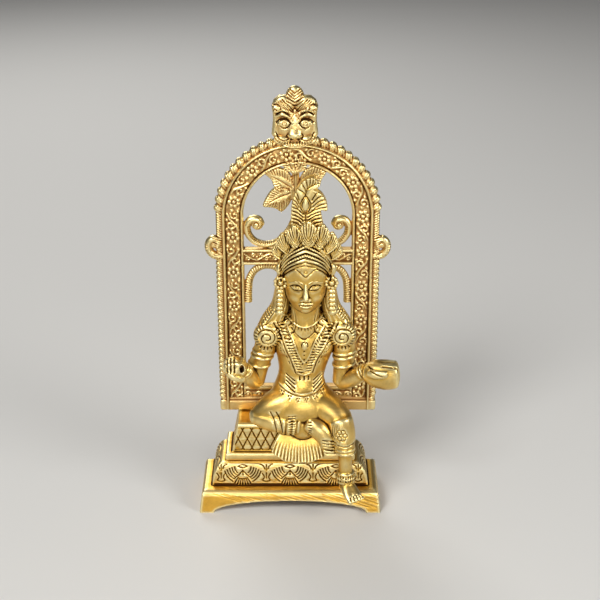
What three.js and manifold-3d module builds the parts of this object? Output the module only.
import * as THREE from 'three';
import { mergeVertices } from 'three/addons/utils/BufferGeometryUtils.js';
import Module from 'manifold-3d';

// A seated brass figure on its plinth, in front of an open arch. Three castings.
// Millimetres, +Z up, +Y to the back. While building, Y = 0 is the front lower edge of the slab.

const wasm = await Module();
wasm.setup();

// Driving sizes of the plinth
const slab = { width: 88, depth: 35, height: 10.6, frontSlope: 3.1, sideSlope: 1 };
const moulding = { bottomWidth: 76, topWidth: 64, front: 8, back: 33, top: 22.5 };
const fillet = { width: 63, front: 10.6, back: 32.4, top: 27 };
const block = { bottomWidth: 56.5, topWidth: 51, front: 12, back: 31.6, top: 42.5 };
const hollow = { wall: 4, roof: 19, topWidth: 52, topFront: 13, topBack: 27.5 };
const frontCut = { halfWidth: 37, rise: 5.6 };

// Driving sizes of the arch frame
const arch = {
  centre: 3.8, halfWidth: 38.3, springing: 144, bottom: 42.8, window: 25,
  front: 25.3, back: 30.5, coreFront: 26.5, coreBack: 29.6,
};
const baseBar = { lipTop: 48.3, top: 56 };
const crossbar = { bottom: 120, top: 127.8 };
const rib = { rimInner: 34.8, outerInner: 33.4, innerOuter: 26.6 };
const beadPitch = 4.1;
const beadRise = 0.9;
const scroll = { reach: 20.2, z: 140.3, radius: 4.2, halfWidth: 1.35 };
const mask = { x: 2.6, z: 188.6, halfWidth: 10, halfHeight: 11.2, front: 18.5, back: 32, leafHeight: 10.8 };

// Driving sizes of the figure
const casting = { gap: 0.3 };
const seat = { x: 4.6, y: 16.5, z: block.top + casting.gap };
const headAt = { x: 7.4, y: 13.2, z: 117 };
const headSize = { halfWidth: 10.2, halfDepth: 10.4, chin: 12.4 };
const stalkHole = { radius: 1.25, x: -22.3, z: 78.6 };
const fan = { x: 5, hem: 33.2, top: 43, dip: 5.2, halfHem: 14, halfTop: 8.2, pleats: 9 };

const brass = new THREE.MeshStandardMaterial({ color: 0xc9a04a, roughness: 0.3, metalness: 1 });

// Solids: closed geometries joined and cut as manifolds

function solid(geometry) {
  const plain = geometry.clone();
  plain.deleteAttribute('normal');
  plain.deleteAttribute('uv');
  const merged = mergeVertices(plain, 1e-4);
  return new wasm.Manifold(new wasm.Mesh({
    numProp: 3,
    vertProperties: new Float32Array(merged.attributes.position.array),
    triVerts: new Uint32Array(merged.index.array),
  }));
}

function join(solids) {
  return solids.reduce((whole, next) => whole.add(next));
}

function toMesh(name, body) {
  const { vertProperties, triVerts } = body.getMesh();
  const geometry = new THREE.BufferGeometry();
  geometry.setAttribute('position', new THREE.BufferAttribute(new Float32Array(vertProperties), 3));
  geometry.setIndex(new THREE.BufferAttribute(new Uint32Array(triVerts), 1));
  geometry.computeVertexNormals();
  const mesh = new THREE.Mesh(geometry, brass.clone());
  mesh.name = name;
  return mesh;
}

// Rings of points, one above another, closed by a fan at each end
function skin(rings, firstTip, lastTip) {
  const sides = rings[0].length;
  const points = [...rings.flat(), firstTip, lastTip];
  const faces = [];
  const last = (rings.length - 1) * sides;
  for (let j = 0; j < sides; j += 1) {
    const k = (j + 1) % sides;
    for (let i = 0; i < last; i += sides) {
      faces.push(i + j, i + k, i + sides + k);
      faces.push(i + j, i + sides + k, i + sides + j);
    }
    faces.push(rings.length * sides, k, j);
    faces.push(rings.length * sides + 1, last + j, last + k);
  }
  const geometry = new THREE.BufferGeometry();
  geometry.setAttribute('position', new THREE.Float32BufferAttribute(points.flatMap((p) => p.toArray()), 3));
  geometry.setIndex(faces);
  return solid(geometry);
}

// A rounded body along a curve through stations [x, y, z, half width, half depth].
// The half depth lies along the reference direction, the half width across it.
function limb(stations, { sides = 10, steps = 6, reference = [0, 1, 0], cap = 0.5 } = {}) {
  const path = new THREE.CatmullRomCurve3(stations.map(([x, y, z]) => new THREE.Vector3(x, y, z)));
  const sizes = new THREE.CatmullRomCurve3(stations.map(([, , , w, d]) => new THREE.Vector3(w, d, 0)));
  const front = new THREE.Vector3(...reference);
  const rings = [];
  const tips = [];
  for (let i = 0; i <= steps; i += 1) {
    const t = i / steps;
    const at = path.getPoint(t);
    const size = sizes.getPoint(t);
    const along = path.getTangent(t);
    const deep = front.clone().addScaledVector(along, -front.dot(along)).normalize();
    const wide = deep.clone().cross(along);
    rings.push(Array.from({ length: sides }, (_, j) => {
      const angle = (j / sides) * Math.PI * 2;
      return at.clone()
        .addScaledVector(wide, Math.cos(angle) * size.x)
        .addScaledVector(deep, Math.sin(angle) * size.y);
    }));
    tips.push(at.clone().addScaledVector(along, (t < 0.5 ? -cap : cap) * Math.min(size.x, size.y)));
  }
  return skin(rings, tips[0], tips[steps]);
}

function ball(x, y, z, rx, ry, rz, turn = 0, across = 8) {
  const geometry = new THREE.SphereGeometry(1, across, Math.round(across * 0.7));
  geometry.scale(rx, ry, rz);
  geometry.rotateY(turn);
  return solid(geometry.translate(x, y, z));
}

function ring(x, y, z, radius, thickness) {
  return solid(new THREE.TorusGeometry(radius, thickness, 4, 12).translate(x, y, z));
}

// A flat shape drawn in X and Z, as thick as the stretch from front to back
function plate(shape, front, back, curveSegments = 8) {
  const geometry = new THREE.ExtrudeGeometry(shape, {
    depth: back - front, bevelEnabled: false, curveSegments,
  });
  return solid(geometry.rotateX(Math.PI / 2).translate(0, back, 0));
}

function outline(points) {
  return new THREE.Shape(points.map(([x, z]) => new THREE.Vector2(x, z)));
}

// Plinth

function rectangle(z, halfWidth, front, back) {
  return [[1, back], [-1, back], [-1, front], [1, front]]
    .map(([side, y]) => new THREE.Vector3(side * halfWidth, y, z));
}

function stack(levels) {
  const rings = levels.map((level) => rectangle(...level));
  const middle = (level) => new THREE.Vector3(0, (level[2] + level[3]) / 2, level[0]);
  return skin(rings, middle(levels[0]), middle(levels[levels.length - 1]));
}

// The swelling moulding, from the slab up to the fillet
function mouldingLevels(steps = 6) {
  return Array.from({ length: steps + 1 }, (_, i) => {
    const angle = (i / steps) * Math.PI / 2;
    const inward = 1 - Math.cos(angle);
    const z = slab.height + (moulding.top - slab.height) * Math.sin(angle);
    const halfWidth = moulding.bottomWidth / 2 - inward * (moulding.bottomWidth - moulding.topWidth) / 2;
    return [z, halfWidth, moulding.front + inward * 3, moulding.back - inward];
  });
}

function plinth() {
  const half = slab.width / 2;
  const shoulder = slab.height - 1.4;
  const outside = stack([
    [0, half, 0, slab.depth],
    [shoulder, half - slab.sideSlope, slab.frontSlope - 0.6, slab.depth - 1],
    [slab.height, half - slab.sideSlope - 1.2, slab.frontSlope + 1, slab.depth - 2],
    ...mouldingLevels(),
    [moulding.top + 0.6, fillet.width / 2 - 0.8, fillet.front + 0.6, fillet.back - 0.4],
    [moulding.top + 2, fillet.width / 2, fillet.front, fillet.back],
    [fillet.top - 0.8, fillet.width / 2 - 0.8, fillet.front + 0.5, fillet.back - 0.3],
    [fillet.top, block.bottomWidth / 2, block.front, block.back],
    [block.top - 1.2, block.topWidth / 2, block.front + 0.4, block.back],
    [block.top, block.topWidth / 2 - 1, block.front + 1.4, block.back - 0.8],
  ]);
  const inside = stack([
    [-1, half - hollow.wall, hollow.wall, slab.depth - hollow.wall],
    [slab.height - 3, half - hollow.wall - 4, hollow.wall + 4, slab.depth - hollow.wall - 2],
    [hollow.roof, hollow.topWidth / 2, hollow.topFront, hollow.topBack],
  ]);
  const bow = new THREE.Shape();
  bow.absellipse(0, 0, frontCut.halfWidth, frontCut.rise, 0, Math.PI * 2);
  return outside.subtract(inside).subtract(plate(bow, -1, hollow.wall + 2, 12));
}

// Arch frame

// The outline of the arch at a distance from its centre line: up one side, over, and down the other
function archPath(half, bottom, arcSteps = 16) {
  const points = [new THREE.Vector2(arch.centre + half, bottom)];
  for (let i = 0; i <= arcSteps; i += 1) {
    const angle = (i / arcSteps) * Math.PI;
    points.push(new THREE.Vector2(arch.centre + half * Math.cos(angle), arch.springing + half * Math.sin(angle)));
  }
  points.push(new THREE.Vector2(arch.centre - half, bottom));
  return points;
}

function archBand(outer, inner, bottom, front, back) {
  const shape = new THREE.Shape([...archPath(outer, bottom), ...archPath(inner, bottom).reverse()]);
  return plate(shape, front, back);
}

// The beaded rim: the outline with a row of round bumps, three points to a bead
function beadedRim() {
  const half = arch.halfWidth - beadRise;
  const straight = arch.springing - arch.bottom;
  const length = 2 * straight + Math.PI * half;
  const beads = Math.round(length / beadPitch);
  const edge = [];
  for (let i = 0; i <= beads * 3; i += 1) {
    const s = (i / (beads * 3)) * length;
    const bump = half + beadRise * Math.abs(Math.sin((i / 3) * Math.PI));
    const angle = THREE.MathUtils.clamp((s - straight) / half, 0, Math.PI);
    const z = arch.springing + Math.min(0, s - straight) + Math.min(0, length - straight - s);
    edge.push(new THREE.Vector2(arch.centre + bump * Math.cos(angle), z + bump * Math.sin(angle)));
  }
  const shape = new THREE.Shape([...edge, ...archPath(rib.rimInner, arch.bottom).reverse()]);
  return plate(shape, arch.front, arch.back - 0.3);
}

function bar(halfWidth, bottom, top, front, back) {
  const shape = new THREE.Shape([[-1, bottom], [1, bottom], [1, top], [-1, top]]
    .map(([side, z]) => new THREE.Vector2(arch.centre + side * halfWidth, z)));
  return plate(shape, front, back);
}

// A flat ribbon that follows points drawn in X and Z, thinner towards its end
function ribbon(points, halfWidth, endWidth, front, back) {
  const left = [];
  const right = [];
  points.forEach((point, i) => {
    const before = points[Math.max(0, i - 1)];
    const after = points[Math.min(points.length - 1, i + 1)];
    const along = after.clone().sub(before).normalize();
    const across = new THREE.Vector2(-along.y, along.x);
    const width = THREE.MathUtils.lerp(halfWidth, endWidth, i / (points.length - 1));
    left.push(point.clone().addScaledVector(across, width));
    right.push(point.clone().addScaledVector(across, -width));
  });
  return plate(new THREE.Shape([...right, ...left.reverse()]), front, back);
}

function spiral(x, z, radius, turns, side) {
  const endRadius = 1.2;
  const steps = Math.round(turns * 10);
  return Array.from({ length: steps + 1 }, (_, i) => {
    const t = i / steps;
    const r = THREE.MathUtils.lerp(radius, endRadius, t);
    const angle = t * turns * Math.PI * 2;
    return new THREE.Vector2(x + side * r * Math.cos(angle), z + r * Math.sin(angle));
  });
}

// A pointed leaf from its root, in X and Z
function leafShape(x, z, length, halfWidth, turn) {
  const shape = new THREE.Shape();
  const place = (u, v) => [
    x + u * Math.cos(turn) - v * Math.sin(turn),
    z + u * Math.sin(turn) + v * Math.cos(turn),
  ];
  shape.moveTo(...place(0, -halfWidth * 0.2));
  shape.quadraticCurveTo(...place(length * 0.35, -halfWidth * 1.5), ...place(length, 0));
  shape.quadraticCurveTo(...place(length * 0.35, halfWidth * 1.5), ...place(0, halfWidth * 0.2));
  shape.closePath();
  return shape;
}

function innerScrolls() {
  const front = arch.coreFront - 0.4;
  return [-1, 1].flatMap((side) => {
    const x = arch.centre + side * scroll.reach;
    const { z, radius, halfWidth } = scroll;
    const stalk = new THREE.QuadraticBezierCurve(
      new THREE.Vector2(arch.centre + side * (arch.window + 0.6), z - 2),
      new THREE.Vector2(arch.centre + side * (arch.window - 4), crossbar.top + 1.2),
      new THREE.Vector2(arch.centre + side * 10, crossbar.top + 0.6),
    );
    const link = ribbon([
      new THREE.Vector2(arch.centre + side * (arch.window + 1), z + 1),
      new THREE.Vector2(x, z + 1),
    ], halfWidth, halfWidth, front, arch.coreBack);
    return [
      link,
      ribbon(spiral(x, z, radius, 1.2, side), halfWidth, 1, front, arch.coreBack),
      ribbon(stalk.getPoints(6), 1.6, 1.2, front, arch.coreBack),
    ];
  });
}

// A thick hook outside each side of the rim
function sideVolutes() {
  const hook = [
    [35.6, 124.2], [39, 124.5], [41.2, 127.2], [41.2, 130.6], [39, 132.6], [36.7, 131.2], [37.2, 128.9],
  ];
  return [-1, 1].map((side) => {
    const path = new THREE.SplineCurve(hook.map(([reach, z]) => new THREE.Vector2(arch.centre + side * reach, z)));
    return ribbon(path.getPoints(10), 1.7, 1.5, arch.front, arch.back - 0.6);
  });
}

// Brackets that narrow the lower window under the crossbar, each ending in a cusp
function brackets() {
  return [-1, 1].flatMap((side) => {
    const edge = arch.centre + side * (arch.window + 0.8);
    const curve = new THREE.CubicBezierCurve(
      new THREE.Vector2(arch.centre + side * 9, crossbar.bottom + 0.5),
      new THREE.Vector2(arch.centre + side * 17, crossbar.bottom - 0.6),
      new THREE.Vector2(edge - side * 2.6, crossbar.bottom - 6),
      new THREE.Vector2(edge - side * 2.4, 106),
    );
    const cusp = ribbon([
      new THREE.Vector2(edge, 104.5),
      new THREE.Vector2(edge - side * 2.6, 103),
      new THREE.Vector2(edge - side * 4.6, 100.6),
    ], 1.7, 0.6, arch.coreFront - 0.4, arch.coreBack);
    return [ribbon(curve.getPoints(6), 1.3, 1.5, arch.coreFront - 0.4, arch.coreBack), cusp];
  });
}

// A stem hanging from the crown of the arch to the crossbar, with three curling leaves and a small top pair
function foliage() {
  const x = 1.6;
  const front = arch.coreFront - 0.6;
  const stem = outline([[x - 1.1, 171], [x - 1, crossbar.top - 1], [x + 1, crossbar.top - 1], [x + 1.1, 171]]);
  const leaves = [
    [[0.4, 159.3], [0, 164.3], [-3.5, 166.8], [-7.8, 166.5], [-11.3, 164.7], [-8.3, 161.6], [-6.8, 157.9],
      [-4.4, 156.1], [-1.4, 157], [1.6, 155]],
    [[-6.1, 157.7], [-9.2, 155.1], [-11.9, 149.1], [-8.8, 148.2], [-6.2, 147.8], [-3.6, 146.1], [-0.5, 149.1],
      [1.6, 153.3], [1.6, 156.5]],
    [[1.6, 157], [4.3, 161], [6.9, 165.6], [10.7, 167.9], [13.8, 167], [16.4, 165], [14.7, 161.6], [13.4, 157.9],
      [9.5, 158.8]],
    [[1.6, 167], [2.1, 171.5], [0, 171.9], [-1.7, 170.2], [-2, 166.5], [0.4, 166.1]],
    [[1.8, 167], [4.3, 171.5], [6, 171.9], [7.3, 169.7], [6.7, 167], [4, 166.2]],
  ];
  return [plate(stem, front, arch.coreBack), ...leaves.map((leaf) => plate(outline(leaf), front, arch.coreBack))];
}

// A lion-like mask on the crown of the arch: brows, round eyes, a broad muzzle, curled ears and a leaf tuft
function lionMask() {
  const { x, z, halfWidth, halfHeight, front, back, leafHeight } = mask;
  const depth = (back - front - 2) / 2;
  const sides = [-1, 1].flatMap((side) => [
    ball(x + side * 4.7, front + 2, z + 1.8, 2.5, 1.6, 1.5, 0, 6),
    ball(x + side * 4.7, front + 2.2, z + 4.8, 3.6, 1.6, 1.1, -side * 0.25, 6),
    ball(x + side * 4.3, front + 1.8, z - 7, 3.8, 2.6, 2.6, -side * 0.3, 6),
    ball(x + side * 7.8, front + 6, z + 7.8, 2.6, 2.6, 3.8, side * 0.3, 6),
  ]);
  const leaves = [0, -0.7, 0.7].map((lean) => {
    const length = leafHeight - Math.abs(lean) * 2;
    return plate(leafShape(x + lean * 3, z + 5.9, length, 3, Math.PI / 2 - lean), front + 4, back - 4, 5);
  });
  return [
    ball(x, back - depth - 0.2, z, halfWidth, depth, halfHeight, 0, 12),
    ball(x, front + 2.4, z - 1.6, 2, 2.6, 4.2, 0, 6),
    ball(x, front + 3.2, z - 9, 5.6, 3, 2.4, 0, 6),
    ...sides,
    ...leaves,
  ];
}

function archFrame() {
  const { front, back, coreFront, coreBack, bottom, window, halfWidth } = arch;
  return join([
    archBand(halfWidth - 1.2, window, bottom, coreFront, coreBack),
    bar(window + 1, bottom, baseBar.top, coreFront, coreBack),
    bar(window + 1, crossbar.bottom, crossbar.top, coreFront, coreBack),
    beadedRim(),
    archBand(rib.rimInner + 0.4, rib.outerInner, bottom, front - 0.4, back),
    archBand(rib.innerOuter, window, baseBar.top - 2, front, back - 0.3),
    bar(halfWidth, bottom, baseBar.lipTop, front, back),
    bar(rib.innerOuter, baseBar.top - 2, baseBar.top, front, back - 0.3),
    bar(window + 1, crossbar.bottom, crossbar.bottom + 1.5, front, back - 0.3),
    bar(window + 1, crossbar.top - 1.8, crossbar.top, front, back - 0.3),
    ...innerScrolls(),
    ...sideVolutes(),
    ...brackets(),
    ...foliage(),
    ...lionMask(),
  ]);
}

// Figure

function torso() {
  const { x, y, z } = seat;
  const body = limb([
    [x, y, z - 1.5, 17, 7],
    [x, y, z + 5, 18, 8],
    [x, y, z + 12, 15.8, 8],
    [x, y - 0.5, z + 17, 13.2, 7.4],
    [x + 0.4, y - 0.5, z + 22, 11.4, 6.8],
    [x + 1, y - 0.6, z + 27, 10.9, 6.6],
    [x + 1.6, y - 1, z + 34, 12.2, 7.2],
    [x + 2.2, y - 1.2, z + 42, 14.4, 7.8],
    [x + 2.6, y - 0.6, z + 49, 15.6, 7],
    [x + 2.6, y - 0.4, z + 54, 12.6, 6],
    [x + 2.6, y - 0.4, z + 58, 8, 5],
  ], { sides: 10, steps: 9, cap: 0.3 });
  // The skirt spreads from the waist over both thighs in one fall
  const lap = limb([
    [x + 0.6, y - 0.9, z + 27.2, 10.6, 6.4],
    [x + 0.6, y - 1.1, z + 23.2, 11.3, 7.2],
    [x + 0.5, y - 1.5, z + 19.2, 13, 8.6],
    [x + 0.7, y - 2.3, z + 15.2, 15.8, 10],
    [x + 1, y - 3.1, z + 11.6, 18.6, 10.8],
    [x + 1.2, y - 3.7, z + 8.4, 19.6, 10.6],
    [x + 1, y - 3.5, z + 5.8, 18.8, 9.2],
  ], { sides: 14, steps: 5, cap: 0.3 });
  return [body, lap];
}

function head() {
  const { x, y, z } = headAt;
  const { halfWidth, halfDepth, chin } = headSize;
  const jaw = limb([
    [x, y - 2.8, z - chin, 3.4, 4.4],
    [x, y - 2.6, z - 10.2, 6.2, 6.9],
    [x, y - 1.8, z - 6.4, 8.5, 8.7],
    [x, y - 0.8, z - 1.6, 9.7, 9.8],
    [x, y, z + 4, halfWidth, halfDepth],
    [x, y + 0.3, z + 10, 9.8, 10],
    [x, y + 0.6, z + 15, 6.6, 7],
  ], { sides: 12, steps: 6, cap: 0.35 });
  const neck = limb([
    [x - 0.6, y + 1.2, 92, 7.4, 6], [x - 0.2, y + 0.6, 98, 6.6, 5.8], [x, y + 0.4, 107, 6.4, 5.8],
  ], { steps: 2 });
  const nose = limb([
    [x, y - 9.7, z + 3, 0.9, 1], [x, y - 10.8, z - 0.8, 1.4, 1.3], [x, y - 11.6, z - 3.6, 1.9, 1.5],
  ], { sides: 5, steps: 2 });
  const lips = ball(x, y - 9.4, z - 7.5, 3.2, 1.7, 1.3, 0, 6);
  const eyes = [-1, 1].map((side) => ball(x + side * 4.1, y - 8, z + 0.9, 2.6, 1.3, 1.2, 0, 6));
  return [jaw, neck, nose, lips, ...eyes];
}

// A banded cap, a row of upright leaves in front of it and a tall veined plume that curls to one side
function crown() {
  const { x, y, z } = headAt;
  const cap = limb([
    [x, y + 0.6, z - 1, 10.6, 10.4], [x, y + 0.6, z + 4, 11.8, 11.4], [x, y + 0.6, z + 9, 12.4, 11.8],
    [x, y + 0.6, z + 14, 12.2, 11.6], [x, y + 0.6, z + 18, 11.2, 10.6], [x, y + 0.6, z + 22, 9.4, 8.6],
    [x, y + 0.6, z + 26, 6.4, 5.6],
  ], { sides: 12, steps: 6, cap: 0.2 });
  const leaves = [
    { root: [-3.6, 130.4], tip: [-6.2, 137.4], half: 3, front: 8 },
    { root: [19.4, 130.4], tip: [22, 137.8], half: 3, front: 8 },
    { root: [-0.6, 134.4], tip: [-3.2, 142.8], half: 3.6, front: 6 },
    { root: [16.6, 134.4], tip: [19.2, 143.2], half: 3.6, front: 6 },
    { root: [3.6, 137], tip: [2, 147.2], half: 4, front: 4.4 },
    { root: [12.8, 137], tip: [15, 147.6], half: 4, front: 4.4 },
    { root: [8.4, 138.2], tip: [8.8, 149.4], half: 4.2, front: 3.4 },
  ].map(({ root, tip, half, front }) => {
    const along = [tip[0] - root[0], tip[1] - root[1]];
    return plate(leafShape(...root, Math.hypot(...along), half, Math.atan2(along[1], along[0])), front, front + 4, 4);
  });
  const plume = plate(outline([
    [-1.2, 138], [0.6, 144.3], [0.8, 149], [1.1, 154.2], [2.2, 158.9], [4.2, 163.2], [6.8, 166.4], [9.4, 167.9],
    [11.4, 167.6], [12.6, 165.6], [12.4, 163.6], [10.6, 162.4], [12.8, 161.6], [15.4, 159.4], [17, 155.8],
    [17.2, 152.4], [14.4, 152.6], [14.6, 149], [15.2, 145], [16.6, 138],
  ]), y - 3, y + 2.2);
  const foot = ball(x, y, 143, 8.2, 3.6, 8);
  return [cap, ...leaves, plume, foot];
}

function hairAndEars() {
  const { x, y, z } = headAt;
  const behind = ball(x, y + 6.4, z - 8, 12, 5.4, 15);
  return [behind, ...[-1, 1].flatMap((side) => [
    limb([
      [x + side * 9, y + 3, z + 4, 4, 6.5],
      [x + side * 10.8, y + 3.8, z - 6, 3.6, 6],
      [x + side * 12, y + 3.6, z - 14, 4.4, 6],
      [x + side * 15.2, y + 2.6, z - 20.5, 5.4, 5.4],
      [x + side * 17.6, y + 1.4, z - 25, 5.4, 4.8],
    ], { sides: 7, steps: 5 }),
    ball(x + side * 11, y - 3.4, z + 2, 3.4, 2.8, 3.2),
    ball(x + side * 11.3, y - 3.4, z + 7.8, 2.6, 2.6, 3.6, 0, 6),
    ball(x + side * 11.4, y - 3.6, z - 6, 2.4, 2.6, 7),
  ])];
}

function arms() {
  const options = { sides: 8, steps: 3 };
  return [
    { side: -1, shoulder: [-10.4, 15.6, 90.2], elbow: [-16.4, 14.2, 65.2], wrist: [-21.4, 6.2, 75.6] },
    { side: 1, shoulder: [24.6, 15.6, 90.6], elbow: [24.6, 14.2, 65], wrist: [36, 6.2, 75] },
  ].flatMap(({ side, shoulder, elbow, wrist }) => {
    const [x, y, z] = shoulder;
    const halfWay = elbow.map((value, i) => (value + wrist[i]) / 2);
    const upper = limb([
      [...shoulder, 5.4, 5.4], [x + side, y - 0.2, 83, 5.2, 5.2],
      [(x + elbow[0]) / 2 + side * 0.9, y - 0.6, 74.6, 4.9, 5], [...elbow, 4.4, 4.6],
    ], options);
    const forearm = limb([
      [...elbow, 4.3, 4.4], [halfWay[0], halfWay[1], halfWay[2] - 0.8, 4, 4.1], [...wrist, 3, 3.2],
    ], { ...options, reference: [0, 0, 1] });
    const armlet = ring((x + elbow[0]) / 2 + side * 0.6, y - 0.4, 78.4, 4.9, 0.9);
    const curl = ball(x, y - 3, z, 6.4, 4.9, 6.7, 0, 6);
    return [upper, forearm, armlet, curl];
  });
}

// A fist pierced for a stalk that is lost, and a broad flat-topped open hand
function hands() {
  const palm = plate(outline([
    [-29.8, 81.4], [-26, 82.4], [-21.8, 81.8], [-20, 79], [-20.6, 74.8], [-24.6, 72.4], [-28.8, 74.6], [-30.4, 78],
  ]), -0.8, 7.2);
  const thumb = limb([[-21.6, 0.6, 73.6, 1.9, 2.1], [-25, -0.9, 75, 1.8, 1.9], [-28, -1.1, 77.4, 1.4, 1.5]], {
    sides: 6, steps: 3, reference: [0, 0, 1],
  });
  const bore = new THREE.CylinderGeometry(stalkHole.radius, stalkHole.radius, 30, 12);
  const stalk = solid(bore.translate(stalkHole.x, 2, stalkHole.z));
  const open = limb([
    [35.6, 4.9, 75, 4.2, 4.6], [39.5, 4, 74.6, 5.8, 6.6], [45, 3.4, 74.2, 6, 7.4], [49.67, 3.2, 74.4, 5.4, 6.8],
  ], { sides: 10, steps: 5, reference: [0, 0, 1], cap: 0.35 });
  const level = bar(60, 80.8, 92, -20, 24);
  return [join([palm, thumb]).subtract(stalk), open.subtract(level)];
}

function legs() {
  const options = { sides: 8, steps: 4 };
  const sideways = { ...options, reference: [0, 0, 1] };
  return [
    limb([[3, 13.6, 56.4, 9.5, 8.4], [-3.4, 12.2, 54.4, 8.8, 8.2], [-9.2, 10.8, 51.8, 7.2, 7.2],
      [-13.4, 9.8, 49.8, 5.3, 5.6], [-16, 9.2, 48.6, 3.9, 4.2]], { ...sideways, cap: 0.8 }),
    limb([[-16, 9, 48.6, 3.8, 4], [-12.6, 8.2, 48.2, 4.7, 4.9], [-8, 7.6, 47.4, 5.3, 5.5], [0, 7, 46.6, 5.2, 5.5],
      [7, 6.6, 46.2, 4.5, 4.8], [11.6, 6, 45.6, 4.1, 4.4]], { ...sideways, steps: 5, cap: 0.8 }),
    limb([[9.6, 4.8, 47.4, 4.4, 4.6], [13.8, 3.2, 45.2, 5, 4.8], [17, 2, 41.4, 4.8, 4.2], [18, 1.8, 37.8, 4.2, 3.4]],
      { sides: 8, steps: 3 }),
    limb([[9, 13.6, 55.6, 9, 8.6], [16, 10.6, 53.2, 8.2, 8], [21.6, 6.8, 50.8, 7, 6.8], [24.2, 4.4, 48.6, 6.4, 6]],
      { ...sideways, steps: 3 }),
    limb([[23.8, 3.6, 49.6, 6.2, 5.9], [25.2, 1.8, 44, 5.9, 5.5], [25.8, 0.6, 39.4, 5.2, 5]], options),
    limb([[25.9, 0.2, 39.4, 4.9, 4.7], [26.1, -0.1, 37, 5, 4.8], [26.2, -0.3, 34.4, 5.4, 5.2]],
      { sides: 9, steps: 2, cap: 0.15 }),
    limb([[26.2, -1, 36, 3.5, 3.6], [26.5, -1.4, 28, 3.1, 3.2], [26.6, -1.6, 19, 3.5, 3.7]], { sides: 8, steps: 4 }),
    ring(26.6, -1.4, 22.2, 4, 1.4),
    limb([[26.6, -1.4, 18, 3.5, 2.9], [27.8, -4, 17.2, 3.9, 2.9], [29.4, -6.8, 15.6, 4.3, 2.2],
      [31.1, -9.34, 14, 3.8, 1.5]], { sides: 8, steps: 4, reference: [0, 0, 1] }),
  ];
}

// The cloth hangs between the legs like a shell, pleated towards its hem
function pleatedFan() {
  const across = fan.pleats * 3;
  const levels = 3;
  const rings = [];
  for (let i = 0; i <= levels; i += 1) {
    const t = i / levels;
    const low = 1 - t;
    const halfWidth = fan.halfTop + (fan.halfHem - fan.halfTop) * low ** 0.8;
    const point = (u, front) => {
      const hem = fan.hem - fan.dip * Math.max(0, 1 - Math.abs(u) ** 2.4) ** 0.7;
      const fold = Math.cos(u * fan.pleats * Math.PI) * 0.6 * low * front;
      const y = 7.4 - 6.4 * low ** 1.3 + 2.4 * u * u * low;
      return new THREE.Vector3(fan.x + u * halfWidth, y - front - fold, THREE.MathUtils.lerp(hem, fan.top, t));
    };
    const front = Array.from({ length: across + 1 }, (_, j) => point(-1 + (2 * j) / across, 1));
    const back = Array.from({ length: 7 }, (_, j) => point(1 - j / 3, -1));
    rings.push([...front, ...back]);
  }
  const middle = (points) => points.reduce((sum, p) => sum.add(p), new THREE.Vector3()).divideScalar(points.length);
  return skin(rings, middle(rings[0]), middle(rings[levels]));
}

function bosom() {
  const { x, y } = seat;
  return [
    ball(x - 3.8, y - 4.2, 85.4, 6.8, 5, 6.6),
    ball(x + 8.8, y - 4.2, 85.4, 6.8, 5, 6.6),
    ball(x + 2.4, y - 7, 87.6, 2.2, 1.6, 3, 0, 6),
  ];
}

function figure() {
  const whole = join([
    ...torso(), ...head(), ...crown(), ...hairAndEars(), ...arms(), ...hands(), ...legs(), pleatedFan(), ...bosom(),
  ]);
  const blockRoom = stack([
    [20, block.bottomWidth / 2 + 1, block.front - casting.gap - 0.4, 60],
    [seat.z, block.topWidth / 2 + 1, block.front - casting.gap - 0.4, 60],
  ]);
  const archRoom = bar(60, 20, 230, arch.front - 0.4 - casting.gap, 60);
  return whole.subtract(blockRoom).subtract(archRoom);
}

const work = new THREE.Group();
work.add(toMesh('plinth', plinth()));
work.add(toMesh('lakshmi_figure', figure()));
work.add(toMesh('arch_frame', archFrame()));

// The origin is the middle of the underside of the box that the whole work fits in
const box = new THREE.Box3().setFromObject(work, true);
const middle = box.getCenter(new THREE.Vector3());
work.position.set(-middle.x, -middle.y, -box.min.z);
work.updateMatrixWorld(true);

export default work;
